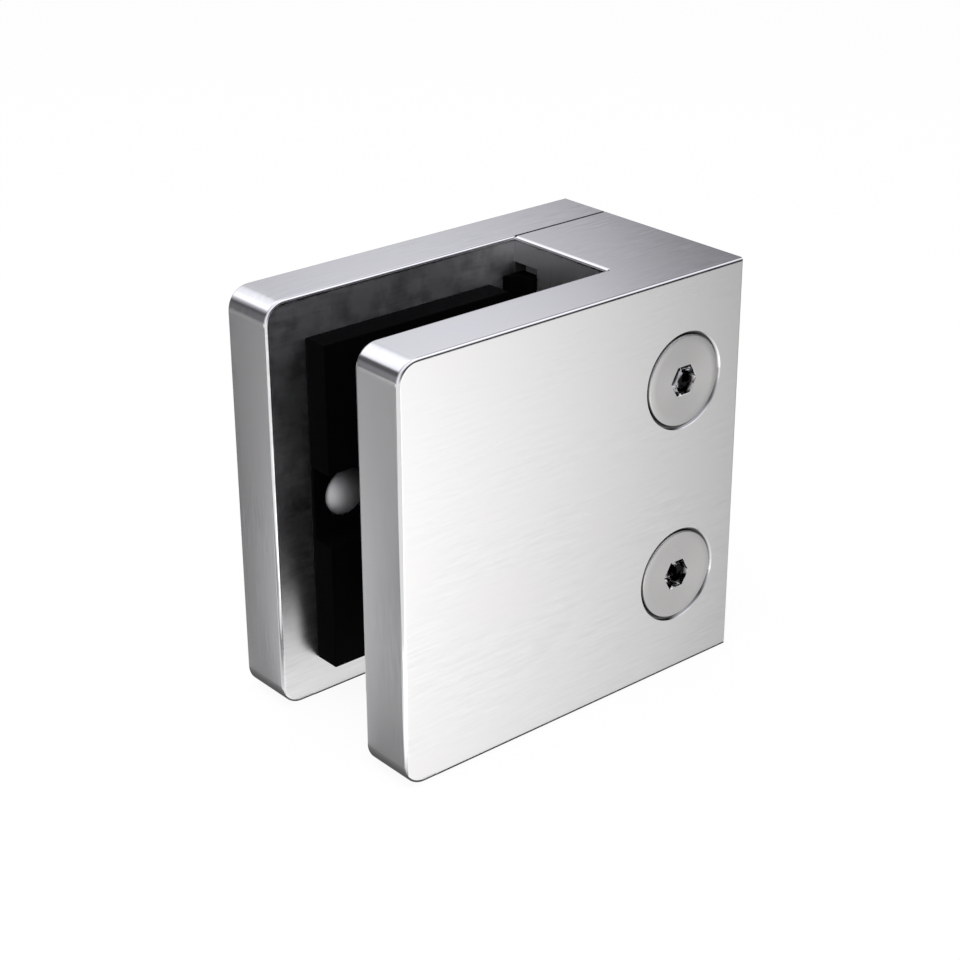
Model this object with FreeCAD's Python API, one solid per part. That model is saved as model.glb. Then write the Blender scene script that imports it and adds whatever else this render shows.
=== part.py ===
import FreeCAD, Part
import math
import os

# Square glass clamp for a flat wall or post.
# The front jaw and the spine are one L-shaped piece. The rear jaw is a flat plate,
# drawn up to the spine by two countersunk screws that enter from the front.
# A rubber pad lies on each jaw, and the glass stands between the two pads.
#
# Frame: X = 0 is the flat back that meets the wall, and the jaws reach to -X.
# Y = 0 is the middle plane of the glass, with the front at -Y.
# Z = 0 is half height, on the axis of the fixing hole.

# Outer form
clamp_length = 45.0
clamp_height = 45.0
jaw_thickness = 6.4
plate_thickness = 6.4
slot_width = 14.2
spine_length = 13.0
corner_radius = 2.4

# Rounded edges
front_edge_radius = 0.4
rear_edge_radius = 0.15
back_edge_radius = 0.15
slot_edge_radius = 0.35
parting_edge_radius = 0.1

# Clamping screws, set in from the back and from the top and bottom ends. The head lies just below
# the front face, and the tip stops short of the hole's end.
screw_inset = 8.0
screw_from_end = 11.4
thread_diameter = 5.0
thread_clearance = 0.05
tip_chamfer = 0.5
tip_gap = 0.77
plate_skin = 1.2
head_diameter = 9.8
head_rim_height = 0.3
head_recess = 0.03
head_seat_clearance = 0.07
shank_clearance = 0.15
socket_across_flats = 3.0
socket_depth = 2.2
socket_point_depth = 0.8

# Fixing hole through the spine
fixing_hole_diameter = 6.6
fixing_countersink_diameter = 12.6

# Rubber pads, measured from the edges of the jaw and from the end of the slot
pad_thickness = 3.1
pad_inset = 4.6
pad_edge_margin = 4.5
pad_spine_gap = 3.4
notch_width = 8.0
notch_floor_thickness = 0.4

# Lugs at the inner end of each pad, which seat in pockets of the spine
lug_height = 8.0
lug_rise = 0.5
lug_stand_off = 0.2
lug_tip_gap = 0.2
lug_slope_length = 1.5
lug_slope_depth = 1.2
link_thickness = 1.2
link_drop = 2.3
pocket_depth = 1.5
pocket_side_gap = 0.5
pocket_end_gap = 1.25

# Round-ended pins that locate the pads. The dome springs from the jaw's face.
pin_diameter = 5.0
pin_from_open_end = 8.8
pin_hole_depth = 3.0
pin_dome_height = 1.3
pad_hole_clearance = 0.2

# How far a cutting shape runs past the face that it cuts
overcut = 1.0

# Planes and places that several pieces share
half_height = clamp_height / 2
half_slot = slot_width / 2
open_end = -clamp_length
slot_end = -spine_length
front_face = -half_slot - jaw_thickness
rear_face = half_slot + plate_thickness
glass_face = half_slot - pad_thickness
pad_start = open_end + pad_inset
pad_end = slot_end - pad_spine_gap
half_pad_height = half_height - pad_edge_margin
lug_high = half_pad_height + lug_rise
lug_low = lug_high - lug_height
lug_face = slot_end - lug_stand_off
pin_x = open_end + pin_from_open_end
screw_x = -screw_inset
screw_height = half_height - screw_from_end
screw_heights = {"upper": screw_height, "lower": -screw_height}
screw_head_y = front_face + head_recess
thread_hole_depth = plate_thickness - plate_skin
screw_length = half_slot + thread_hole_depth - tip_gap - screw_head_y

X = FreeCAD.Vector(1, 0, 0)
Y = FreeCAD.Vector(0, 1, 0)
Z = FreeCAD.Vector(0, 0, 1)


def box(x_low, x_high, y_low, y_high, z_low, z_high):
    corner = FreeCAD.Vector(x_low, y_low, z_low)
    return Part.makeBox(x_high - x_low, y_high - y_low, z_high - z_low, corner)


def revolved(profile, origin, axis, side):
    """Turns (radius, height) points about an axis through origin."""
    points = [origin + side * radius + axis * height for radius, height in profile]
    face = Part.Face(Part.makePolygon(points + points[:1]))
    return face.revolve(origin, axis, 360)


def rounded_slab(x_low, x_high, y_low, y_high):
    """A slab of full height with both corners at its low X end rounded."""
    slab = box(x_low, x_high, y_low, y_high, -half_height, half_height)
    corners = [edge for edge in slab.Edges
               if all(abs(v.X - x_low) < 1e-6 for v in edge.Vertexes)
               and abs(edge.Vertexes[0].Y - edge.Vertexes[1].Y) > 1e-6]
    return slab.makeFillet(corner_radius, corners)


def edges_in(shape, low, high):
    """The edges that lie wholly inside the box from low to high."""
    slack = 1e-4
    found = []
    for edge in shape.Edges:
        b = edge.BoundBox
        inside_x = b.XMin > low[0] - slack and b.XMax < high[0] + slack
        inside_y = b.YMin > low[1] - slack and b.YMax < high[1] + slack
        inside_z = b.ZMin > low[2] - slack and b.ZMax < high[2] + slack
        if inside_x and inside_y and inside_z:
            found.append(edge)
    return found


def outline(shape, y, x_low, x_high):
    """The outline of the face at y between two X planes, apart from its edge in the slot's end plane."""
    edges = edges_in(shape, (x_low, y, -half_height), (x_high, y, half_height))
    low = (slot_end, y, -half_height)
    high = (slot_end, y, half_height)
    return [edge for edge in edges if not edges_in(edge, low, high)]


def jaw_beside_slot(outer_y, slot_y, radius):
    """The part of a jaw beside the slot, with its outer outline rounded by radius, and its slot outline."""
    jaw = rounded_slab(open_end, slot_end, min(outer_y, slot_y), max(outer_y, slot_y))
    jaw = jaw.makeFillet(slot_edge_radius, outline(jaw, slot_y, open_end, slot_end))
    return jaw.makeFillet(radius, outline(jaw, outer_y, open_end, slot_end))


def block_behind_slot(outer_y, parting_y, radius):
    """The block behind the slot, with its outer edges rounded by radius and its parting face's edges broken."""
    y_low = min(outer_y, parting_y)
    y_high = max(outer_y, parting_y)
    bar = box(slot_end, overcut, y_low, y_high, -half_height, half_height)
    bar = bar.makeFillet(radius, outline(bar, outer_y, slot_end, overcut))
    block = box(slot_end, 0, y_low, y_high, -half_height, half_height)
    back = edges_in(block, (0, outer_y, -half_height), (0, outer_y, half_height))
    block = block.makeFillet(back_edge_radius, back).common(bar)
    return block.makeFillet(parting_edge_radius, outline(block, parting_y, slot_end, 0))


def slot_edge_cutter(end):
    """What the rounding takes off the spine's slot edge at the top or the bottom."""
    r = slot_edge_radius
    axis_x = slot_end + r
    axis_z = half_height - r
    corner = box(slot_end - overcut, axis_x, -half_slot, half_slot, axis_z, half_height + overcut)
    axis_start = FreeCAD.Vector(axis_x, -half_slot, axis_z)
    return placed(corner.cut(Part.makeCylinder(r, slot_width, axis_start, Y)), 1, end)


def lug_pocket(side, end):
    """The pocket in the spine for one pad lug, on the side and at the end given by their signs."""
    y_near = glass_face - pocket_side_gap
    z_low = lug_low - pocket_end_gap
    z_high = lug_high + pocket_end_gap
    pocket = box(slot_end - overcut, slot_end + pocket_depth, y_near, half_slot, z_low, z_high)
    return placed(pocket, side, end)


def placed(shape, side, end):
    """Mirrors a shape drawn at +Y and +Z to the side and end given by their signs."""
    if side < 0:
        shape = shape.mirror(FreeCAD.Vector(), Y)
    if end < 0:
        shape = shape.mirror(FreeCAD.Vector(), Z)
    return shape


def pin_hole(side):
    mouth = FreeCAD.Vector(pin_x, side * half_slot, 0)
    return Part.makeCylinder(pin_diameter / 2, pin_hole_depth, mouth, Y * side)


def countersunk_profile(rim, hole, depth):
    """Half the section of a countersunk hole of 90 degrees, by its two radii and the wall's depth."""
    return [
        (0, -overcut),
        (rim + overcut, -overcut),
        (hole, rim - hole),
        (hole, depth + overcut),
        (0, depth + overcut),
    ]


def screw_hole(height):
    """The countersunk hole that a clamping screw passes through."""
    mouth = FreeCAD.Vector(screw_x, front_face, height)
    rim = head_diameter / 2 + head_rim_height + head_recess + head_seat_clearance
    hole = thread_diameter / 2 + shank_clearance
    depth = half_slot - front_face
    return revolved(countersunk_profile(rim, hole, depth), mouth, Y, X)


def fixing_hole():
    """The hole for the screw that holds the clamp, countersunk on the slot side."""
    mouth = FreeCAD.Vector(slot_end, 0, 0)
    rim = fixing_countersink_diameter / 2
    hole = fixing_hole_diameter / 2
    return revolved(countersunk_profile(rim, hole, spine_length), mouth, X, Y)


def front_body():
    """The front jaw and the spine, in one piece."""
    jaw = jaw_beside_slot(front_face, -half_slot, front_edge_radius)
    body = jaw.fuse(block_behind_slot(front_face, half_slot, front_edge_radius))
    for end in (-1, 1):
        body = body.cut(slot_edge_cutter(end))
        for side in (-1, 1):
            body = body.cut(lug_pocket(side, end))
    for height in screw_heights.values():
        body = body.cut(screw_hole(height))
    return body.cut(fixing_hole()).cut(pin_hole(-1)).removeSplitter()


def rear_plate():
    """The rear jaw, a flat plate with a blind threaded hole for each screw."""
    jaw = jaw_beside_slot(rear_face, half_slot, rear_edge_radius)
    plate = jaw.fuse(block_behind_slot(rear_face, half_slot, rear_edge_radius))
    radius = thread_diameter / 2 + thread_clearance
    for height in screw_heights.values():
        mouth = FreeCAD.Vector(screw_x, half_slot, height)
        plate = plate.cut(Part.makeCylinder(radius, thread_hole_depth, mouth, Y))
    return plate.cut(pin_hole(1)).removeSplitter()


def pad(side):
    """One rubber pad, drawn for the rear jaw and mirrored for the front one."""
    half_notch = notch_width / 2
    slab = box(pad_start, pad_end, glass_face, half_slot, -half_pad_height, half_pad_height)
    notch_front = half_slot - notch_floor_thickness
    cut_from = glass_face - overcut
    notch = box(pad_start - overcut, pin_x, cut_from, notch_front, -half_notch, half_notch)
    notch_axis = FreeCAD.Vector(pin_x, cut_from, 0)
    notch_end = Part.makeCylinder(half_notch, notch_front - cut_from, notch_axis, Y)
    hole_radius = pin_diameter / 2 + pad_hole_clearance
    hole = Part.makeCylinder(hole_radius, pad_thickness + 2 * overcut, notch_axis, Y)
    shape = slab.cut(notch.fuse(notch_end)).cut(hole)
    for end in (-1, 1):
        shape = shape.fuse(placed(pad_lug(), 1, end))
    return placed(shape.removeSplitter(), side, 1)


def pad_lug():
    """The lug at the top of the pad's inner end, with the strip that joins it to the pad."""
    tip = slot_end + pocket_depth - lug_tip_gap
    points = [
        (lug_face - lug_slope_length, half_slot),
        (lug_face, half_slot - lug_slope_depth),
        (lug_face, glass_face),
        (tip, glass_face),
        (tip, half_slot),
    ]
    corners = [FreeCAD.Vector(x, y, lug_low) for x, y in points]
    lug = Part.Face(Part.makePolygon(corners + corners[:1])).extrude(Z * lug_height)
    link = box(pad_end, lug_face, half_slot - link_thickness, half_slot, lug_low, lug_high - link_drop)
    return lug.fuse(link)


def pad_pin(side):
    """A pin pressed in its jaw, with a domed end that stands in the pad's notch."""
    radius = pin_diameter / 2
    foot = FreeCAD.Vector(pin_x, side * (half_slot + pin_hole_depth), 0)
    mouth = FreeCAD.Vector(pin_x, side * half_slot, 0)
    stem = Part.makeCylinder(radius, pin_hole_depth, foot, Y * -side)
    dome_radius = (radius ** 2 + pin_dome_height ** 2) / (2 * pin_dome_height)
    centre = mouth + Y * -side * (pin_dome_height - dome_radius)
    dome = Part.makeSphere(dome_radius, centre)
    dome = dome.common(Part.makeCylinder(radius, pin_dome_height + overcut, mouth, Y * -side))
    return stem.fuse(dome).removeSplitter()


def hex_prism(centre, across_flats, depth):
    """A six-sided prism along +Y, with corners at +X and -X."""
    radius = across_flats / math.sqrt(3)
    angles = [math.radians(60 * k) for k in range(6)]
    corners = [centre + X * radius * math.cos(a) + Z * radius * math.sin(a) for a in angles]
    return Part.Face(Part.makePolygon(corners + corners[:1])).extrude(Y * depth)


def clamping_screw(height):
    """A countersunk screw with a hexagon socket. Its thread is drawn plain at the outer diameter."""
    top = FreeCAD.Vector(screw_x, screw_head_y, height)
    head = head_diameter / 2
    shank = thread_diameter / 2
    cone_end = head_rim_height + head - shank
    profile = [
        (0, 0),
        (head, 0),
        (head, head_rim_height),
        (shank, cone_end),
        (shank, screw_length - tip_chamfer),
        (shank - tip_chamfer, screw_length),
        (0, screw_length),
    ]
    screw = revolved(profile, top, Y, X)
    socket = hex_prism(top, socket_across_flats, socket_depth)
    drill = Part.makeCone(socket_across_flats / 2, 0, socket_point_depth, top + Y * socket_depth, Y)
    return screw.cut(socket).cut(drill)


nodes = {
    "front_body": front_body(),
    "rear_plate": rear_plate(),
    "front_pad": pad(-1),
    "rear_pad": pad(1),
    "front_pad_pin": pad_pin(-1),
    "rear_pad_pin": pad_pin(1),
}
for name, height in screw_heights.items():
    nodes[name + "_screw"] = clamping_screw(height)

os.makedirs("parts", exist_ok=True)
for name, shape in nodes.items():
    shape.exportStep("parts/" + name + ".step")
    print(name, len(shape.Solids), "solid", round(shape.Volume), "mm3", shape.isValid())
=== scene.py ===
# %% [markdown]
# # A glass clamp in brushed stainless steel
#
# The real object is a small square clamp for the edge of an 8 mm pane of glass. A milled front jaw and
# spine and a flat rear jaw are held together by two countersunk screws, and a black rubber pad lies on each
# jaw. The solid shapes were drawn and packed beforehand, and this lesson only dresses them. It could be
# drawn again in Blender by hand, but then it might drift from the solids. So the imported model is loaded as
# a fixed frame, and every finish and every finer piece is laid over it, in metres and in the same place.

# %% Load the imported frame
from math import cos, pi, radians, sin

import bmesh
import bpy
from mathutils import Matrix, Vector


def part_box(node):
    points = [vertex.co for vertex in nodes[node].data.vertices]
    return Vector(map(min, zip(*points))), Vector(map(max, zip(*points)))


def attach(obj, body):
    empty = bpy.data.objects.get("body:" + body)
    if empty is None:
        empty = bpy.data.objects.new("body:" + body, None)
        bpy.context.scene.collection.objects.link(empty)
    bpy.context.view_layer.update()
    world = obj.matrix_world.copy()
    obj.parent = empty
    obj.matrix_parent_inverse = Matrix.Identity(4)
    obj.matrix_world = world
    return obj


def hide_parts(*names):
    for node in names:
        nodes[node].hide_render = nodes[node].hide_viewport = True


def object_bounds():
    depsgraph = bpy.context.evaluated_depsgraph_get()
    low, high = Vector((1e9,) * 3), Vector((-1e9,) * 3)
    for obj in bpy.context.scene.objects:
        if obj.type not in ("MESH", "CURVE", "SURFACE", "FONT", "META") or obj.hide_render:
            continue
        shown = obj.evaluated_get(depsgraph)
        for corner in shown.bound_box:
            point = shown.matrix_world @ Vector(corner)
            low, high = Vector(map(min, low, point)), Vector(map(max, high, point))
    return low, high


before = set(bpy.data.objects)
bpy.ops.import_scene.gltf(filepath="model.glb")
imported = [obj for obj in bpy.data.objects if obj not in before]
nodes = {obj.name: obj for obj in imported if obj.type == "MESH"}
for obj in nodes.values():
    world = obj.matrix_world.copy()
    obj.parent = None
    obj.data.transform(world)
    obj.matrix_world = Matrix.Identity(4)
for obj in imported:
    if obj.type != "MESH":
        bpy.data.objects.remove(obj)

packed_box = [list(corner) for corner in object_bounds()]

# %% [markdown]
# ## Camera
#
# The photograph was taken a little from above and from the left, fairly close, so that the near upright
# edges lean apart. A camera can be placed by eye, or worked out from the edges of a known block. Here it
# was worked out from about ninety places along the edges, so the model's outline falls within about a pixel
# of the photographed one. It is written as a place, a lens, two angles and a very small roll.

# %% Place the camera
MM = 0.001
camera_place = Vector((-152.518, -151.964, 92.094)) * MM
camera_azimuth, camera_elevation, camera_roll = radians(40.240), radians(24.813), radians(-0.289)
camera_data = bpy.data.cameras.new("camera")
camera_data.sensor_width = 36.0
camera_data.lens = 78.95
camera_data.clip_start, camera_data.clip_end = 0.01, 20.0
forward = Vector((sin(camera_azimuth) * cos(camera_elevation),
                  cos(camera_azimuth) * cos(camera_elevation),
                  -sin(camera_elevation)))
level_right = forward.cross(Vector((0, 0, 1))).normalized()
level_up = level_right.cross(forward)
right = cos(camera_roll) * level_right + sin(camera_roll) * level_up
up = cos(camera_roll) * level_up - sin(camera_roll) * level_right
camera = bpy.data.objects.new("camera", camera_data)
camera.matrix_world = Matrix.Translation(camera_place) @ Matrix((right, up, -forward)).transposed().to_4x4()
bpy.context.scene.collection.objects.link(camera)
bpy.context.scene.camera = camera
print("camera", [round(v / MM, 1) for v in camera_place], "mm")

# %% [markdown]
# ## Helpers
#
# A few lines that every later step uses. One makes an object from points and faces, and the others add
# nodes. A sum, a product or a ramp is a single call, so that a tree of nodes reads nearly like a formula.
# The same helpers serve the finishes and the Geometry Nodes of the thread.

# %% Mesh and node helpers
def mesh_object(name, points, faces):
    """A new object in the scene from a list of points in metres and a list of faces."""
    mesh = bpy.data.meshes.new(name)
    mesh.from_pydata([tuple(p) for p in points], [], faces)
    mesh.update()
    made = bpy.data.objects.new(name, mesh)
    bpy.context.scene.collection.objects.link(made)
    return made


def new_material(name):
    """An empty material, with its output node."""
    material = bpy.data.materials.new(name)
    material.use_nodes = True
    material.node_tree.nodes.clear()
    return material, material.node_tree, material.node_tree.nodes.new("ShaderNodeOutputMaterial")


def add(tree, kind, inputs=None, **settings):
    """Adds a node. inputs gives a value or another node's socket for each of its sockets."""
    made = tree.nodes.new(kind)
    for name, value in settings.items():
        setattr(made, name, value)
    for name, value in (inputs or {}).items():
        if isinstance(value, bpy.types.NodeSocket):
            tree.links.new(value, made.inputs[name])
        else:
            made.inputs[name].default_value = value
    return made


def math_node(tree, operation, a, b=0.0, c=0.0):
    """The result of one operation on values or sockets."""
    return add(tree, "ShaderNodeMath", {0: a, 1: b, 2: c}, operation=operation).outputs[0]


def product(tree, *values):
    """All the values or sockets multiplied together."""
    result = values[0]
    for value in values[1:]:
        result = math_node(tree, "MULTIPLY", result, value)
    return result


def total(tree, *values):
    """All the values or sockets added up."""
    result = values[0]
    for value in values[1:]:
        result = math_node(tree, "ADD", result, value)
    return result


def ramp(tree, value, start, end, low=0.0, high=1.0):
    """low where the value is at start, high where it is at end, straight between them and level outside."""
    return add(tree, "ShaderNodeMapRange", {"Value": value, "From Min": start, "From Max": end,
                                            "To Min": low, "To Max": high}).outputs[0]


def near_value(tree, value, middle, inner, outer):
    """1 where a value is within inner of the middle, falling to 0 at outer."""
    off = math_node(tree, "ABSOLUTE", math_node(tree, "SUBTRACT", value, middle))
    return ramp(tree, off, inner, outer, 1.0, 0.0)


def stretched_noise(tree, source, scale, detail=3.0):
    """Noise on object coordinates, with a scale for each axis in cells per metre."""
    mapping = add(tree, "ShaderNodeMapping", {"Vector": source, "Scale": scale})
    return add(tree, "ShaderNodeTexNoise", {"Vector": mapping.outputs[0], "Scale": 1.0, "Detail": detail,
                                            "Roughness": 0.55}).outputs["Fac"]


def blended(tree, factor, a, b, kind="FLOAT"):
    """a where factor is 0 and b where it is 1, for numbers, colours or vectors."""
    made = tree.nodes.new("ShaderNodeMix")
    made.data_type = kind
    number = {"FLOAT": 0, "VECTOR": 1, "RGBA": 2}[kind]
    pairs = [socket for socket in made.inputs if socket.name in "AB"]
    a_socket, b_socket = pairs[2 * number:2 * number + 2]
    for socket, value in ((made.inputs[0], factor), (a_socket, a), (b_socket, b)):
        if isinstance(value, bpy.types.NodeSocket):
            tree.links.new(value, socket)
        else:
            socket.default_value = value
    return made.outputs[number]


print("helpers ready")

# %% [markdown]
# ## Stage
#
# The clamp stands on a plain white floor that runs out of the picture. A strong lamp could burn the floor
# to white, but it would burn the steel as well. So the floor and the sky are white only for rays that come
# from the camera or from a shiny surface, which Light Path tells apart, and what lights the clamp stays at
# a plain level. Part of the floor is an ordinary matt surface, which keeps the clamp's own soft shadow.

# %% White floor
floor_height, floor_reach = packed_box[0][2], 6.0
camera_share, shiny_share = 0.86, 0.75
floor_material, tree, out = new_material("white_floor")
path = add(tree, "ShaderNodeLightPath")
shiny = math_node(tree, "MAXIMUM", path.outputs["Is Glossy Ray"], path.outputs["Is Transmission Ray"])
share = math_node(tree, "MAXIMUM", product(tree, path.outputs["Is Camera Ray"], camera_share),
                  product(tree, shiny, shiny_share))
matt = add(tree, "ShaderNodeBsdfDiffuse", {"Color": (0.80, 0.80, 0.80, 1)})
glow = add(tree, "ShaderNodeEmission", {"Color": (1, 1, 1, 1), "Strength": 1.06})
floor_mix = add(tree, "ShaderNodeMixShader", {0: share, 1: matt.outputs[0], 2: glow.outputs[0]})
tree.links.new(floor_mix.outputs[0], out.inputs["Surface"])

floor_points = [(x, y, floor_height) for x, y in
                ((-floor_reach, -floor_reach), (floor_reach, -floor_reach),
                 (floor_reach, floor_reach), (-floor_reach, floor_reach))]
floor = mesh_object("floor", floor_points, [(0, 1, 2, 3)])
floor.data.materials.append(floor_material)
print("floor at", round(floor_height / MM, 2), "mm")

# %% White sky
light_level, seen_level = 0.35, 1.0
world = bpy.data.worlds.new("white_sky")
bpy.context.scene.world = world
world.use_nodes = True
tree = world.node_tree
tree.nodes.clear()
path = add(tree, "ShaderNodeLightPath")
shiny = math_node(tree, "MAXIMUM", path.outputs["Is Glossy Ray"], path.outputs["Is Transmission Ray"])
seen = math_node(tree, "MAXIMUM", path.outputs["Is Camera Ray"], shiny)
sky_level = blended(tree, seen, light_level, seen_level)
sky = add(tree, "ShaderNodeBackground", {"Color": (1, 1, 1, 1), "Strength": sky_level})
add(tree, "ShaderNodeOutputWorld", {"Surface": sky.outputs[0]})
bpy.context.scene.view_settings.view_transform = "Standard"
print("sky", world.name, "lights at", light_level, "and shows at", seen_level)

# %% [markdown]
# ## Lamps and screens
#
# Polished or brushed metal has hardly any colour of its own: it shows what stands round it. In a studio the
# shape is drawn by large soft lamps, and by pale and dark screens that give a steel edge its bright or dark
# line. The same is done here. Two soft lamps light the clamp from the front left and from above, and the
# next cells put screens round it. Only shiny surfaces see the screens, so they show in no view and take no
# light away.

# %% Soft lamps
def soft_lamp(name, place, size, radiance):
    """A square lamp that looks at the clamp. radiance is how bright its face looks."""
    data = bpy.data.lights.new(name, "AREA")
    data.shape = "SQUARE"
    data.size = size
    data.energy = radiance * pi * size * size
    lamp = bpy.data.objects.new(name, data)
    lamp.matrix_world = (Matrix.Translation(Vector(place))
                         @ (-Vector(place)).to_track_quat("-Z", "Y").to_matrix().to_4x4())
    lamp.visible_glossy = False
    bpy.context.scene.collection.objects.link(lamp)
    return lamp


soft_lamp("front_lamp", (-0.42, -0.50, 0.42), 0.50, 3.0)
soft_lamp("top_lamp", (-0.10, 0.05, 0.75), 0.60, 2.0)

# %% Screens for the reflections
screen_cloth, tree, out = new_material("screen_cloth")
shade_read = add(tree, "ShaderNodeAttribute", attribute_name="shade")
cloth_glow = add(tree, "ShaderNodeEmission", {"Color": shade_read.outputs["Color"], "Strength": 1.0})
tree.links.new(cloth_glow.outputs[0], out.inputs["Surface"])
screen_cloth.cycles.emission_sampling = "NONE"


def screen(name, rows, tint=(1.0, 1.0, 1.0)):
    """A screen that only shiny surfaces see, from rows of places in millimetres with a shade for each."""
    width = len(rows[0])
    faces = [(r * width + c, r * width + c + 1, (r + 1) * width + c + 1, (r + 1) * width + c)
             for r in range(len(rows) - 1) for c in range(width - 1)]
    made = mesh_object(name, [Vector(place) * MM for row in rows for place, shade in row], faces)
    shades = made.data.attributes.new("shade", "FLOAT_COLOR", "POINT")
    shades.data.foreach_set("color", [v for row in rows for place, shade in row
                                      for v in (shade * tint[0], shade * tint[1], shade * tint[2], 1.0)])
    made.data.materials.append(screen_cloth)
    made.visible_camera = made.visible_diffuse = made.visible_transmission = made.visible_shadow = False
    return made


print("screen cloth ready")

# %% [markdown]
# ## Screen round the clamp
#
# A studio's walls aren't even: lamps, stands and dark cloth stand at different angles. So one screen goes
# round the clamp like a tent. Each line below is a compass angle, with +Y at 0 and +X at 90, and gives how
# bright the tent is at each height. Between two angles it shades over evenly. The front and the rounded
# corners of the jaws show this tent. Its 160 shades could be set by eye. Here a least-squares fit, made
# outside this script, chose them so that the steel came near to the photograph's brightness at 186 places,
# and 48 of them were changed by hand afterwards.

# %% Tent of shades
def round_screen(name, levels, shades, distance=400.0):
    """Stands round the clamp. shades holds, for each compass angle, a shade for each level in degrees."""
    rows = []
    for angle, row in shades:
        foot = Vector((sin(radians(angle)), cos(radians(angle)), 0)) * distance
        rows.append([(foot * cos(radians(level)) + Vector((0, 0, distance * sin(radians(level)))), shade)
                     for level, shade in zip(levels, row)])
    return screen(name, rows, (0.985, 0.985, 1.06))


round_levels = (-9, 8, 18, 26, 31, 42, 60, 80)
round_shades = [
    (-62, (0.20, 0.35, 0.30, 0.20, 0.32, 0.54, 0.84, 1.05)),
    (-50, (0.20, 0.30, 0.10, 0.05, 0.32, 0.90, 0.75, 1.08)),
    (-40, (0.12, 0.12, 0.10, 0.14, 1.14, 1.39, 1.02, 1.08)),
    (-30, (0.12, 0.10, 0.10, 1.12, 1.57, 1.32, 1.27, 1.09)),
    (-15, (0.02, 0.02, 0.25, 0.72, 0.77, 1.39, 1.66, 1.12)),
    (8, (0.09, 0.10, 0.29, 0.46, 0.53, 1.19, 1.64, 1.13)),
    (25, (0.19, 0.17, 0.39, 0.66, 0.78, 0.98, 1.23, 1.03)),
    (33, (0.28, 0.21, 0.45, 1.01, 1.03, 1.04, 1.07, 0.98)),
    (38, (0.30, 0.24, 0.35, 1.02, 1.15, 0.95, 1.01, 0.95)),
    (43, (0.30, 0.21, 0.18, 0.90, 1.00, 0.88, 0.97, 0.90)),
    (48, (0.30, 0.21, 0.04, 0.46, 0.71, 0.77, 0.93, 0.86)),
    (56, (0.29, 0.20, 0.13, 0.24, 0.28, 0.33, 0.79, 0.86)),
    (75, (0.20, 0.04, 0.02, 0.15, 0.17, 0.02, 0.48, 0.89)),
    (110, (0.10, 0.03, 0.03, 0.03, 0.25, 1.25, 1.55, 1.40)),
    (128, (0.10, 0.03, 0.03, 0.03, 0.25, 1.25, 1.55, 1.40)),
    (142, (0.10, 0.03, 0.03, 0.03, 0.25, 1.25, 1.55, 1.40)),
    (158, (0.30, 0.03, 0.03, 0.05, 0.30, 1.20, 1.45, 1.30)),
    (200, (0.50, 0.15, 0.05, 0.10, 0.40, 1.10, 1.20, 1.15)),
    (245, (1.16, 1.18, 1.20, 1.13, 1.11, 1.24, 1.24, 1.16)),
    (298, (0.20, 0.35, 0.30, 0.20, 0.32, 0.54, 0.84, 1.05)),
]
round_screen("round_screen", round_levels, round_shades)
print("tent of", len(round_shades), "angles and", len(round_levels), "heights")

# %% [markdown]
# ## Screens on the floor
#
# The upright faces of the jaws also show the floor in front of them, which in the photograph is brighter on
# one side than on the other. Real studios lay card there. These cards are fans: their ribs run away from a
# point behind the clamp, where the camera's mirror image stands, so each rib shades one upright stripe of
# steel. Each line gives where a rib starts beside the clamp and its shade near, further off and far away.
# The same fit chose these 63 shades, and four were changed. They suit the photograph's direction
# only, and from other sides the steel shows them as plain pale and dark card.

# %% Cards in front and at the left
def floor_screen(name, source, reaches, shades, tint=(1.0, 1.0, 1.0)):
    """Lies on the floor. Its ribs run away from a source, and each starts at its own place."""
    lift = Vector((0, 0, floor_height / MM + 0.1))
    rows = []
    for place, row in shades:
        away = (Vector(place) - Vector(source)).normalized()
        rows.append([(Vector((*(Vector(place) + away * reach), 0)) + lift, shade)
                     for reach, shade in zip(reaches, row)])
    return screen(name, rows, tint)


front_card_y, left_card_x = -13.85, -45.1
front_shades = [
    (-75, (1.82, 1.66, 1.41)),
    (-58, (1.73, 1.45, 1.23)),
    (-46, (1.22, 1.39, 0.99)),
    (-36, (1.11, 1.21, 0.82)),
    (-24, (0.95, 1.02, 0.75)),
    (-12, (0.80, 0.81, 0.57)),
    (0, (0.62, 0.64, 0.41)),
    (10, (0.50, 0.48, 0.35)),
    (20, (0.36, 0.33, 0.28)),
    (40, (0.03, 0.03, 0.03)),
    (150, (0.03, 0.03, 0.03)),
]
floor_screen("front_floor_screen", (-153.1, 125.8), (0, 70, 395),
             [((x, front_card_y), shades) for x, shades in front_shades], (1.01, 1.0, 1.0))
left_shades = [
    (-44, (1.06, 0.69, 0.84)),
    (-26, (1.77, 0.37, 0.95)),
    (-15, (0.25, 0.12, 0.07)),
    (-9, (0.27, 0.46, 0.05)),
    (-3, (0.61, 1.12, 0.02)),
    (3, (0.94, 0.81, 0.02)),
    (9, (0.31, 0.21, 0.02)),
    (15, (0.37, 0.02, 0.02)),
    (26, (0.23, 0.02, 0.02)),
    (44, (0.27, 0.02, 0.02)),
]
floor_screen("left_floor_screen", (63.1, -152.8), (0, 45, 395),
             [((left_card_x, y), shades) for y, shades in left_shades], (1.0, 1.0, 1.02))
print("ribs", len(front_shades), "in front and", len(left_shades), "at the left")
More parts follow.
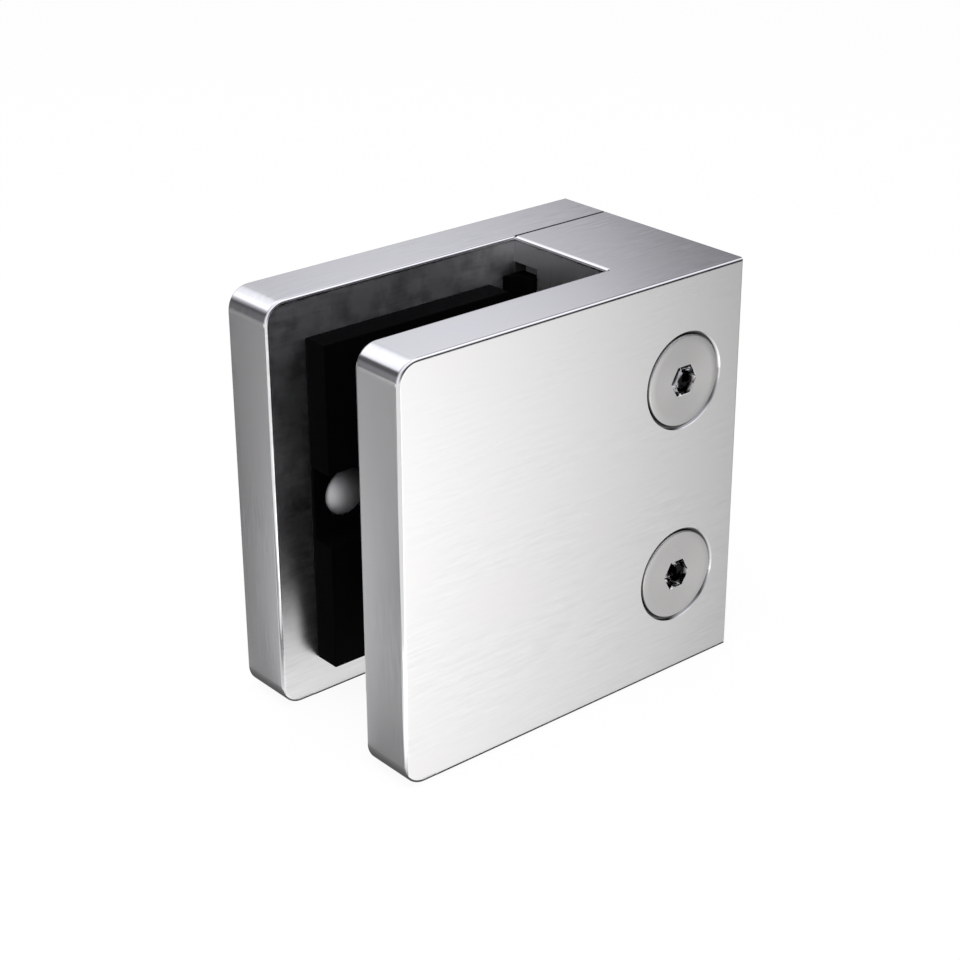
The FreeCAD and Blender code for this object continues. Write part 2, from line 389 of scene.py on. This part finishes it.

# %% [markdown]
# ## Screens behind and under the edges
#
# The back and the flat back side would show a blank white floor, so two plain cards darken it close to the
# clamp, as its own shadow does. Under each jaw lies a narrow dark strip, a painted shadow where the floor
# under the jaw lies in shade, which gives the lower front edges their dark line, and at the open end a
# slightly paler one, a painted shadow for the rounded lower corner.

# %% Cards behind and strips under the jaws
low = floor_height / MM + 0.05
back_shades = ((13.8, 0.08), (60, 0.12), (100, 0.30), (150, 0.55), (320, 0.80))
screen("back_floor_screen", [[((x, y, low), shade) for y, shade in back_shades] for x in (-200, 0.5)])
right_shades = ((0.5, 0.10), (30, 0.16), (70, 0.30), (130, 0.55), (320, 0.80))
screen("right_floor_screen", [[((x, y, low), shade) for y in (-13.4, 320)] for x, shade in right_shades])
# The foot and arc strips are painted shadow: dark card where the floor under each jaw lies in shade.
foot_shade, corner_x = 0.03, -41.0
arc_shades = ((-47.2, 0.26), (-46.0, 0.17), (-45.1, 0.12), (corner_x, 0.10))
for name, near, far, arc_far in (("front", front_card_y, -6.8, -3.8), ("rear", 6.75, 13.7, 16.8)):
    screen(name + "_foot_screen",
           [[((x, near, low), foot_shade), ((x, far, low), foot_shade)] for x in (corner_x, 0.4)])
    screen(name + "_arc_screen",
           [[((x, y, low + 0.1), shade) for y in (near, arc_far)] for x, shade in arc_shades])

# %% [markdown]
# ## Brushed steel
#
# The jaws were ground with a belt, which leaves short fine scratches along the clamp's length, and along
# the height on the narrow ends. An image of scratches would do, but it shows its seams. Here a noise is
# stretched a great deal along the brushing, so that it works on every face. It changes the roughness, the
# colour and the bump a little, and the shader's own anisotropy pulls the highlights across the scratches.
# Some places differ: the parting line and the gaps round the screw heads are painted dark, a painted shade,
# the walls of the slot are smudged and painted lighter, a painted light, the pockets of the spine are
# painted dark and not metallic, a painted shade, and the broken edges are smoother.

# %% Painted shade in the parting line and round the screws
# Places on the imported clamp, in millimetres.
front_face_y, slot_wall_y = -13.5, 7.1
slot_end_x, pocket_end_x, slot_reach_x = -13.0, -11.4, -8.5
screw_x, screw_height = -8.0, 11.1
countersink_radius, countersink_bottom_y = 5.4, -9.0


def painted_gap_shade(tree, x, y, z):
    """1 in the parting line and deep in the screws' countersinks, where shade falls, and 0 elsewhere:
    painted shade.
    """
    seam_shade = product(tree, near_value(tree, y, slot_wall_y * MM, 0.15 * MM, 0.20 * MM),
                   math_node(tree, "GREATER_THAN", x, (slot_end_x + 0.1) * MM))
    beyond_screw = math_node(tree, "SUBTRACT", math_node(tree, "ABSOLUTE", z), screw_height * MM)
    above_screw = product(tree, beyond_screw, math_node(tree, "SIGN", z))
    off = add(tree, "ShaderNodeCombineXYZ", {0: math_node(tree, "SUBTRACT", x, screw_x * MM),
                                             2: beyond_screw})
    distance = add(tree, "ShaderNodeVectorMath", {0: off.outputs[0]}, operation="LENGTH").outputs["Value"]
    near_screw = product(tree, math_node(tree, "LESS_THAN", distance, countersink_radius * MM),
                         math_node(tree, "LESS_THAN", y, countersink_bottom_y * MM))
    # On the lower side of each screw the painted shade begins a little nearer to the face.
    sunk = total(tree, y, ramp(tree, above_screw, -4.0 * MM, 1.0 * MM, 0.09 * MM, 0.0))
    groove_shade = product(tree, near_screw, ramp(tree, sunk, (front_face_y + 0.10) * MM,
                                            (front_face_y + 0.20) * MM, 0.0, 0.65))
    return math_node(tree, "MAXIMUM", seam_shade, groove_shade)


print("dirt rule ready")

# %% Brushed steel for the jaws
def brushed_steel(name):
    """Steel with marks from the belt along X, or along Z on the narrow ends."""
    material, tree, out = new_material(name)
    place = add(tree, "ShaderNodeTexCoord").outputs
    spot = place["Object"]
    x, y, z = add(tree, "ShaderNodeSeparateXYZ", {0: spot}).outputs
    normal = add(tree, "ShaderNodeSeparateXYZ", {0: place["Normal"]}).outputs
    facing_x = math_node(tree, "ABSOLUTE", normal["X"])
    facing_y = math_node(tree, "ABSOLUTE", normal["Y"])
    on_end = ramp(tree, facing_x, 0.55, 0.85)
    on_side = ramp(tree, facing_y, 0.60, 0.80)
    in_slot = product(tree, near_value(tree, y, 0.0, (slot_wall_y + 0.05) * MM, (slot_wall_y + 0.15) * MM),
                      math_node(tree, "LESS_THAN", x, slot_reach_x * MM),
                      near_value(tree, z, 0.0, 21.9 * MM, 22.1 * MM))
    on_slot_wall = product(tree, in_slot, on_side)
    in_pocket = product(tree, math_node(tree, "GREATER_THAN", x, (slot_end_x + 0.05) * MM), in_slot,
                        math_node(tree, "LESS_THAN", x, pocket_end_x * MM))

    # Fine scratches, longer strokes that come and go in patches, and wide clouds.
    scratches = blended(tree, on_end, stretched_noise(tree, spot, (260, 6500, 6500)),
                        stretched_noise(tree, spot, (6500, 6500, 200)))
    strokes = blended(tree, on_end, stretched_noise(tree, spot, (330, 2400, 2400), 1.0),
                      stretched_noise(tree, spot, (2400, 2400, 330), 1.0))
    clouds = stretched_noise(tree, spot, (110, 180, 180), 2.0)
    patch = ramp(tree, clouds, 0.38, 0.62, 0.1, 1.0)
    strength = product(tree, patch, blended(tree, on_end, 1.0, 0.4))
    mark = product(tree, math_node(tree, "SUBTRACT", strokes, 0.5), strength)

    # Colour: the marks, then smudges that fade towards the foot of the slot and a painted light that makes
    # the slot lighter, then the spine's pockets, the parting line and the countersinks painted dark as
    # shade.
    smudge = math_node(tree, "SUBTRACT", stretched_noise(tree, spot, (380, 380, 300), 5.0), 0.5)
    smudged = product(tree, on_slot_wall, ramp(tree, z, -15 * MM, -6 * MM, 0.0, 1.7))
    # The slot's walls are painted a little lighter here: a painted light.
    level = total(tree, 0.97, product(tree, scratches, 0.05),
                  product(tree, mark, blended(tree, on_slot_wall, 0.17, 0.45)),
                  product(tree, smudge, smudged), product(tree, in_slot, 0.18))
    tint = blended(tree, clouds, (0.760, 0.757, 0.750, 1), (0.750, 0.753, 0.762, 1), "RGBA")
    clean = add(tree, "ShaderNodeVectorMath", {0: tint, "Scale": level}, operation="SCALE").outputs[0]
    # The spine's pockets are painted dark and made not metallic: a painted shade in these recesses.
    with_pocket_shade = blended(tree, in_pocket, clean, (0.17, 0.17, 0.175, 1), "RGBA")
    # The parting line and the countersinks are painted near-black: a painted shade in these gaps.
    colour = blended(tree, painted_gap_shade(tree, x, y, z), with_pocket_shade, (0.02, 0.02, 0.02, 1), "RGBA")

    # Roughness: smoother on the broken edges and on the rounded corners, duller in the slot.
    on_edge = near_value(tree, facing_y, 0.5, 0.36, 0.47)
    on_corner = near_value(tree, facing_x, 0.5, 0.42, 0.49)
    polish = math_node(tree, "MAXIMUM", on_edge, product(tree, on_corner, 0.8))
    rough = total(tree, blended(tree, polish, blended(tree, in_slot, 0.22, 0.34), 0.09),
                  product(tree, math_node(tree, "SUBTRACT", scratches, 0.5), 0.08),
                  product(tree, mark, 0.20))
    height = total(tree, scratches, product(tree, mark, 1.5))
    bump = add(tree, "ShaderNodeBump", {"Height": height, "Strength": 0.25, "Distance": 0.000008})
    across = blended(tree, on_side, (0, 1, 0), (0, 0, 1), "VECTOR")
    steel = add(tree, "ShaderNodeBsdfPrincipled", {"Base Color": colour, "Roughness": rough,
                                                   "Metallic": math_node(tree, "SUBTRACT", 1.0, in_pocket),
                                                   "Anisotropic": 0.55, "Tangent": across,
                                                   "Normal": bump.outputs[0]})
    tree.links.new(steel.outputs[0], out.inputs["Surface"])
    return material


jaw_steel = brushed_steel("brushed_steel")
print("brushed steel of", len(jaw_steel.node_tree.nodes), "nodes")

# %% Dress the jaws
def dress(piece, material):
    """Gives a piece its one material."""
    piece.data.materials.clear()
    piece.data.materials.append(material)


for name in ("front_body", "rear_plate"):
    dress(nodes[name], jaw_steel)
    mesh = nodes[name].data
    print(name, len(mesh.vertices), "points", sum(p.use_smooth for p in mesh.polygons), "smooth of",
          len(mesh.polygons), "custom normals", mesh.has_custom_normals)

# %% [markdown]
# ## Turned steel
#
# The screws and pins were turned on a lathe, so their marks run in rings round the axis and the highlights
# spread out like the hands of a clock. The pattern is a noise on the distance from the axis, centred with a
# Mapping node on each piece, and the highlight's direction comes from the same centre. A screw's socket was
# punched, not turned. Plain grey walls would look like a printed hexagon, so they are smoother and painted
# lighter, with painted dark spots that break their reflections into bright and dark bits: a painted
# reflection. The spots are a guess: in the photograph the bits may come from reflections alone. The socket's
# bottom and the head's side in the countersink are painted dark, a painted shade, and each head is painted
# darker at its left and lighter at its right, a painted shade and highlight.

# %% Painted shade and reflection on the screws
head_side_radius, socket_reach, socket_bottom = 4.82, 1.95, 3.1


def in_socket(tree, depth, distance):
    """1 on the walls and the bottom of a screw's socket, and 0 elsewhere."""
    return product(tree, math_node(tree, "GREATER_THAN", depth, 0.02 * MM),
                   math_node(tree, "LESS_THAN", depth, socket_bottom * MM),
                   math_node(tree, "LESS_THAN", distance, socket_reach * MM))


def head_shade_and_spots(tree, depth, distance, spot):
    """1 on a socket's bottom and in spots on its walls, a little on the head's side, and 0 elsewhere:
    painted shade and dark spots.
    """
    side = product(tree, math_node(tree, "GREATER_THAN", distance, head_side_radius * MM),
                   math_node(tree, "GREATER_THAN", depth, 0.06 * MM), 0.15)
    bottom = ramp(tree, depth, 2.15 * MM, 2.45 * MM)
    spots = ramp(tree, stretched_noise(tree, spot, (800, 800, 800), 1.0), 0.54, 0.58)
    inside = product(tree, in_socket(tree, depth, distance), math_node(tree, "MAXIMUM", bottom, spots))
    return math_node(tree, "MAXIMUM", side, inside)


print("dirt for the sockets ready")

# %% Turned steel for screws and pins
def turned_steel(name, axis_x, axis_z, colour, roughness, stretch=0.65, face_y=None):
    """Steel with rings round an axis along Y. face_y is where a screw's head begins."""
    material, tree, out = new_material(name)
    place = add(tree, "ShaderNodeTexCoord").outputs
    spot = place["Object"]
    centred = add(tree, "ShaderNodeMapping", {"Vector": spot, "Location": (-axis_x, 0, -axis_z)}).outputs[0]
    flat = add(tree, "ShaderNodeVectorMath", {0: centred, 1: (1, 0, 1)}, operation="MULTIPLY").outputs[0]
    distance = add(tree, "ShaderNodeVectorMath", {0: flat}, operation="LENGTH").outputs["Value"]
    rings = add(tree, "ShaderNodeTexNoise", {"W": product(tree, distance, 9000.0), "Scale": 1.0,
                                             "Detail": 2.0}, noise_dimensions="1D").outputs["Fac"]
    smear = stretched_noise(tree, spot, (900, 900, 900), 2.0)
    level = total(tree, 0.96, product(tree, rings, 0.08))
    if face_y is not None:
        # A screw's head is painted a little darker at its left and lighter at its right, as it is seen:
        # a painted shade and a painted highlight.
        sideways = add(tree, "ShaderNodeSeparateXYZ", {0: flat}).outputs["X"]
        level = product(tree, level, ramp(tree, sideways, -5 * MM, 5 * MM, 0.91, 1.12))
    tone = add(tree, "ShaderNodeVectorMath", {0: colour, "Scale": level}, operation="SCALE").outputs[0]
    rough = total(tree, roughness - 0.06, product(tree, rings, 0.06), product(tree, smear, 0.06))
    if face_y is not None:
        along = add(tree, "ShaderNodeSeparateXYZ", {0: spot}).outputs["Y"]
        depth = math_node(tree, "SUBTRACT", along, face_y)
        punched = in_socket(tree, depth, distance)
        # The socket's walls are painted lighter, and its bottom, spots and the head's side dark: a painted
        # reflection and a painted shade.
        tone = blended(tree, punched, tone, (0.92, 0.92, 0.92, 1), "RGBA")
        tone = blended(tree, head_shade_and_spots(tree, depth, distance, spot), tone, (0.012, 0.012, 0.012, 1), "RGBA")
        rough = math_node(tree, "SUBTRACT", rough, product(tree, punched, 0.23))
    bump = add(tree, "ShaderNodeBump", {"Height": rings, "Strength": 0.30, "Distance": 0.000006})
    ring_way = add(tree, "ShaderNodeVectorMath", {0: (0, 1, 0), 1: flat},
                   operation="CROSS_PRODUCT").outputs[0]
    across = add(tree, "ShaderNodeVectorMath", {0: place["Normal"], 1: ring_way},
                 operation="CROSS_PRODUCT").outputs[0]
    turned = add(tree, "ShaderNodeVectorTransform", {0: across}, vector_type="VECTOR",
                 convert_from="OBJECT", convert_to="WORLD").outputs[0]
    steel = add(tree, "ShaderNodeBsdfPrincipled", {"Base Color": tone, "Metallic": 1.0, "Roughness": rough,
                                                   "Anisotropic": stretch, "Tangent": turned,
                                                   "Normal": bump.outputs[0]})
    tree.links.new(steel.outputs[0], out.inputs["Surface"])
    return material


def axis_of(node):
    """The X and Z of a round CAD node's axis, in metres."""
    low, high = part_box(node)
    return (low.x + high.x) / 2, (low.z + high.z) / 2


print("turned steel ready")

# %% Dress the pins
pin_colour, pin_roughness, pin_stretch = (0.66, 0.66, 0.66), 0.62, 0.0
for name in ("front_pad_pin", "rear_pad_pin"):
    pin_steel = turned_steel(name + "_steel", *axis_of(name), pin_colour, pin_roughness, pin_stretch)
    dress(nodes[name], pin_steel)
    print(name, "axis", [round(v / MM, 2) for v in axis_of(name)])

# %% [markdown]
# ## Rubber
#
# The pads are moulded in black rubber, which swallows nearly all light. A flat black would look like a
# hole. This nearly black grey has a faint sheen, fine pits from the mould and slightly worn, lighter
# patches. It is darker than real rubber, because the photograph's pads are almost black.

# %% Black rubber
def black_rubber(name):
    """Matt rubber with fine pits from the mould and a trace of dust."""
    material, tree, out = new_material(name)
    spot = add(tree, "ShaderNodeTexCoord").outputs["Object"]
    grain = stretched_noise(tree, spot, (6000, 6000, 6000), 3.0)
    dust = stretched_noise(tree, spot, (220, 220, 220), 4.0)
    colour = blended(tree, dust, (0.0008, 0.0008, 0.0009, 1), (0.0025, 0.0025, 0.0027, 1), "RGBA")
    roughness = total(tree, 0.52, product(tree, dust, 0.20))
    bump = add(tree, "ShaderNodeBump", {"Height": grain, "Strength": 0.5, "Distance": 0.00002})
    rubber = add(tree, "ShaderNodeBsdfPrincipled", {"Base Color": colour, "Metallic": 0.0,
                                                    "Roughness": roughness, "Specular IOR Level": 0.015,
                                                    "Normal": bump.outputs[0]})
    tree.links.new(rubber.outputs[0], out.inputs["Surface"])
    return material


pad_rubber = black_rubber("black_rubber")
print("rubber ready")

# %% [markdown]
# ## Rubber pads
#
# Each pad is one moulding with a notch for the pin and two lugs that seat in the spine. The drawn solid has
# sharp edges, and a moulding never has. It could be modelled afresh, but a copy of the solid keeps the pad
# exactly where the jaw carries it. The copy's triangles are merged into whole faces, and a Bevel modifier
# rounds every sharp edge. The result becomes a plain mesh before it rides on its jaw.

# %% Helpers for a rounded copy
def merged_copy(node, name):
    """A copy of a CAD node with its loose triangles joined into whole faces."""
    shape = bmesh.new()
    shape.from_mesh(nodes[node].data)
    bmesh.ops.remove_doubles(shape, verts=shape.verts, dist=0.000002)
    bmesh.ops.dissolve_limit(shape, angle_limit=radians(2), verts=shape.verts, edges=shape.edges)
    mesh = bpy.data.meshes.new(name)
    shape.to_mesh(mesh)
    shape.free()
    made = bpy.data.objects.new(name, mesh)
    bpy.context.scene.collection.objects.link(made)
    return made


def made_plain(piece):
    """Applies a piece's modifiers, so that it is a plain mesh."""
    seen = piece.evaluated_get(bpy.context.evaluated_depsgraph_get())
    mesh = bpy.data.meshes.new_from_object(seen, preserve_all_data_layers=True,
                                           depsgraph=bpy.context.evaluated_depsgraph_get())
    piece.modifiers.clear()
    piece.data = mesh
    mesh.name = piece.name
    return piece


def rounded(piece, radius, segments, angle=30):
    """Rounds a piece's edges that are sharper than the angle."""
    bevel = piece.modifiers.new("rounded_edges", "BEVEL")
    bevel.width = radius
    bevel.segments = segments
    bevel.limit_method = "ANGLE"
    bevel.angle_limit = radians(angle)
    bevel.harden_normals = True
    for face in piece.data.polygons:
        face.use_smooth = True
    return made_plain(piece)


print("rounding ready")

# %% Pads with rounded edges
pad_edge_radius, pad_edge_steps = 0.15, 3
for node, name, body in (("front_pad", "front_rubber_pad", "clamp_body"),
                         ("rear_pad", "rear_rubber_pad", "rear_jaw")):
    pad = rounded(merged_copy(node, name), pad_edge_radius * MM, pad_edge_steps)
    dress(pad, pad_rubber)
    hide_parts(node)
    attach(pad, body)
    print(name, len(pad.data.polygons), "faces")

# %% [markdown]
# ## Screws
#
# An M5 countersunk screw has a turned head with a hexagon socket, and a thread that shows when the jaw is
# let out. A Boolean could cut the socket, but it leaves ragged faces. So the head is drawn in rings from
# the bottom of the socket outwards, 96 points to a ring, so that a hexagon and a circle can share their
# points. The socket's mouth has a narrow broken edge.

# %% Sizes of the screw in millimetres
head_radius, head_rim, edge_break = 4.9, 0.30, 0.12
shank_radius, root_radius, pitch = 2.5, 2.05, 0.8
socket_flats, socket_depth, socket_point, mouth_break = 3.1, 2.2, 0.8, 0.04
drill_radius, head_circles, thread_sink = 1.40, (2.4, 3.2, 4.0), 0.2
ring_points = 96


def hexagon_radius(angle):
    """The distance from the axis to the hexagon's side at that angle, with a corner at angle 0."""
    return socket_flats / 2 / cos(angle % (pi / 3) - pi / 6)


def head_rings():
    """Rings as (radius, depth) for each point, from the socket's bottom to under the head."""
    angles = [2 * pi * k / ring_points for k in range(ring_points)]
    sides = [hexagon_radius(a) for a in angles]
    rings = [[(drill_radius, socket_depth)] * ring_points, [(r, socket_depth) for r in sides]]
    rings.append([(r, mouth_break) for r in sides])
    rings.append([(r + mouth_break, 0.0) for r in sides])
    for radius in head_circles:
        rings.append([(radius, 0.0)] * ring_points)
    for k in range(4):
        turn = k / 3 * pi / 2
        rings.append([(head_radius - edge_break + edge_break * sin(turn),
                       edge_break - edge_break * cos(turn))] * ring_points)
    cone_end = head_rim + head_radius - shank_radius
    rings += [[(head_radius, head_rim)] * ring_points, [(shank_radius, cone_end)] * ring_points,
              [(root_radius - 0.1, cone_end + thread_sink)] * ring_points]
    return angles, rings


angles, rings = head_rings()
print(len(rings), "rings of", ring_points, "points")

# %% Head of the screw
def screw_head(name, axis_x, face_y, axis_z):
    """The head and its socket as one closed shell."""
    points = [(axis_x, face_y + (socket_depth + socket_point) * MM, axis_z)]
    for ring in rings:
        for angle, (radius, depth) in zip(angles, ring):
            points.append((axis_x + radius * MM * cos(angle), face_y + depth * MM,
                           axis_z + radius * MM * sin(angle)))
    points.append((axis_x, face_y + ring[0][1] * MM, axis_z))
    faces = []
    for k in range(ring_points):
        following = (k + 1) % ring_points
        faces.append((0, 1 + k, 1 + following))
        for row in range(len(rings) - 1):
            a, b = 1 + row * ring_points, 1 + (row + 1) * ring_points
            faces.append((a + k, b + k, b + following, a + following))
        last = 1 + (len(rings) - 1) * ring_points
        faces.append((last + k, len(points) - 1, last + following))
    head = mesh_object(name, points, faces)
    shape = bmesh.new()
    shape.from_mesh(head.data)
    bmesh.ops.recalc_face_normals(shape, faces=shape.faces)
    shape.to_mesh(head.data)
    shape.free()
    return head


print("head ready")

# %% [markdown]
# ## Thread
#
# A thread is a rule: at each turn of the angle the ridge moves one pitch along the axis. So it is made with
# Geometry Nodes. A straight tube is drawn with many rings, and each of its points moves in or out by how
# far it is from the ridge, which runs out towards the head and is cut by the cone of the tip. Every size is
# an input of the tree, and the finished tube becomes a plain mesh.

# %% Thread tree
plain_length, tip_chamfer = 1.0, 0.5
tube_sides, rings_in_pitch = 56, 10


def thread_tree():
    """A screw thread round an upright tube along +Y, from the origin."""
    tree = bpy.data.node_groups.new("screw_thread", "GeometryNodeTree")
    sizes = (("Length", 22.0 * MM), ("Crest Radius", shank_radius * MM), ("Root Radius", root_radius * MM),
             ("Pitch", pitch * MM), ("Plain Length", plain_length * MM), ("Tip Chamfer", tip_chamfer * MM))
    for name, value in sizes:
        socket = tree.interface.new_socket(name, in_out="INPUT", socket_type="NodeSocketFloat")
        socket.default_value = value
    tree.interface.new_socket("Material", in_out="INPUT", socket_type="NodeSocketMaterial")
    tree.interface.new_socket("Geometry", in_out="OUTPUT", socket_type="NodeSocketGeometry")
    given = tree.nodes.new("NodeGroupInput").outputs

    end = add(tree, "ShaderNodeCombineXYZ", {"Y": given["Length"]}).outputs[0]
    line = add(tree, "GeometryNodeCurvePrimitiveLine", {"End": end}).outputs[0]
    ring_step = product(tree, given["Pitch"], 1 / rings_in_pitch)
    rings = math_node(tree, "CEIL", math_node(tree, "DIVIDE", given["Length"], ring_step))
    fine = add(tree, "GeometryNodeResampleCurve", {"Curve": line, "Count": rings}).outputs[0]
    circle = add(tree, "GeometryNodeCurvePrimitiveCircle", {"Resolution": tube_sides,
                                                            "Radius": given["Crest Radius"]})
    tube = add(tree, "GeometryNodeCurveToMesh", {"Curve": fine, "Profile Curve": circle.outputs["Curve"],
                                                 "Fill Caps": True}).outputs[0]

    position = add(tree, "GeometryNodeInputPosition").outputs[0]
    x, y, z = add(tree, "ShaderNodeSeparateXYZ", {0: position}).outputs
    angle = math_node(tree, "ARCTAN2", x, z)
    turns = math_node(tree, "SUBTRACT", math_node(tree, "DIVIDE", y, given["Pitch"]),
                      math_node(tree, "DIVIDE", angle, 2 * pi))
    away = math_node(tree, "ABSOLUTE", math_node(tree, "SUBTRACT", math_node(tree, "FRACT", turns), 0.5))
    ridge = ramp(tree, away, 0.06, 0.44)
    runout = ramp(tree, y, given["Plain Length"], total(tree, given["Plain Length"], given["Pitch"]))
    thread_height = math_node(tree, "SUBTRACT", given["Crest Radius"], given["Root Radius"])
    depth = product(tree, math_node(tree, "SUBTRACT", 1.0, ridge), runout, thread_height)
    cone = total(tree, math_node(tree, "SUBTRACT", given["Crest Radius"], given["Tip Chamfer"]),
                 math_node(tree, "SUBTRACT", given["Length"], y))
    radius = math_node(tree, "MINIMUM", math_node(tree, "SUBTRACT", given["Crest Radius"], depth), cone)
    share = math_node(tree, "DIVIDE", radius, given["Crest Radius"])
    moved = add(tree, "ShaderNodeCombineXYZ", {"X": product(tree, x, share), "Y": y,
                                               "Z": product(tree, z, share)}).outputs[0]
    shaped = add(tree, "GeometryNodeSetPosition", {"Geometry": tube, "Position": moved}).outputs[0]
    smooth = add(tree, "GeometryNodeSetShadeSmooth", {0: shaped}).outputs[0]
    real = add(tree, "GeometryNodeRealizeInstances", {0: smooth}).outputs[0]
    made = add(tree, "GeometryNodeSetMaterial", {"Geometry": real,
                                                 "Material": given["Material"]}).outputs[0]
    out = tree.nodes.new("NodeGroupOutput")
    tree.links.new(made, out.inputs[0])
    return tree


thread_rule = thread_tree()
print("thread inputs", [i.name for i in thread_rule.interface.items_tree if i.in_out == "INPUT"])

# %% Thread mesh
def screw_thread(material, sizes):
    """The thread as a plain mesh along +Y from the origin, with the tree's inputs set by name."""
    carrier = mesh_object("thread_maker", [(0, 0, 0)], [])
    rule = carrier.modifiers.new("thread", "NODES")
    rule.node_group = thread_rule
    for item in thread_rule.interface.items_tree:
        if item.in_out == "INPUT":
            rule[item.identifier] = material if item.name == "Material" else sizes[item.name]
    made_plain(carrier)
    mesh = carrier.data
    bpy.data.objects.remove(carrier)
    return mesh


print("thread mesh ready")

# %% Both screws
screw_colour, screw_roughness, sharp_angle = (0.59, 0.59, 0.585), 0.30, 32


def clamping_screw(node, name):
    """Head and thread in one piece that stands for the plain solid screw."""
    low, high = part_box(node)
    axis_x, axis_z = axis_of(node)
    material = turned_steel(name + "_steel", axis_x, axis_z, screw_colour, screw_roughness, face_y=low.y)
    start = low.y + (head_rim + head_radius - shank_radius - thread_sink) * MM
    sizes = {"Length": high.y - start, "Crest Radius": shank_radius * MM, "Root Radius": root_radius * MM,
             "Pitch": pitch * MM, "Plain Length": plain_length * MM, "Tip Chamfer": tip_chamfer * MM}
    thread = screw_thread(material, sizes)
    thread.transform(Matrix.Translation((axis_x, start, axis_z)))
    screw = screw_head(name, axis_x, low.y, axis_z)
    shape = bmesh.new()
    shape.from_mesh(screw.data)
    shape.from_mesh(thread)
    bmesh.ops.recalc_face_normals(shape, faces=shape.faces)
    for face in shape.faces:
        face.smooth = True
    shape.to_mesh(screw.data)
    shape.free()
    screw.data.set_sharp_from_angle(angle=radians(sharp_angle))
    dress(screw, material)
    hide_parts(node)
    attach(screw, node)
    print(name, len(screw.data.polygons), "faces")
    return screw


for node in ("upper_screw", "lower_screw"):
    clamping_screw(node, node + "_threaded")

# %% [markdown]
# ## Measure
#
# The imported part's box is printed in millimetres.

# %% Print the imported box
print("packed", [[round(v / MM, 2) for v in corner] for corner in packed_box])
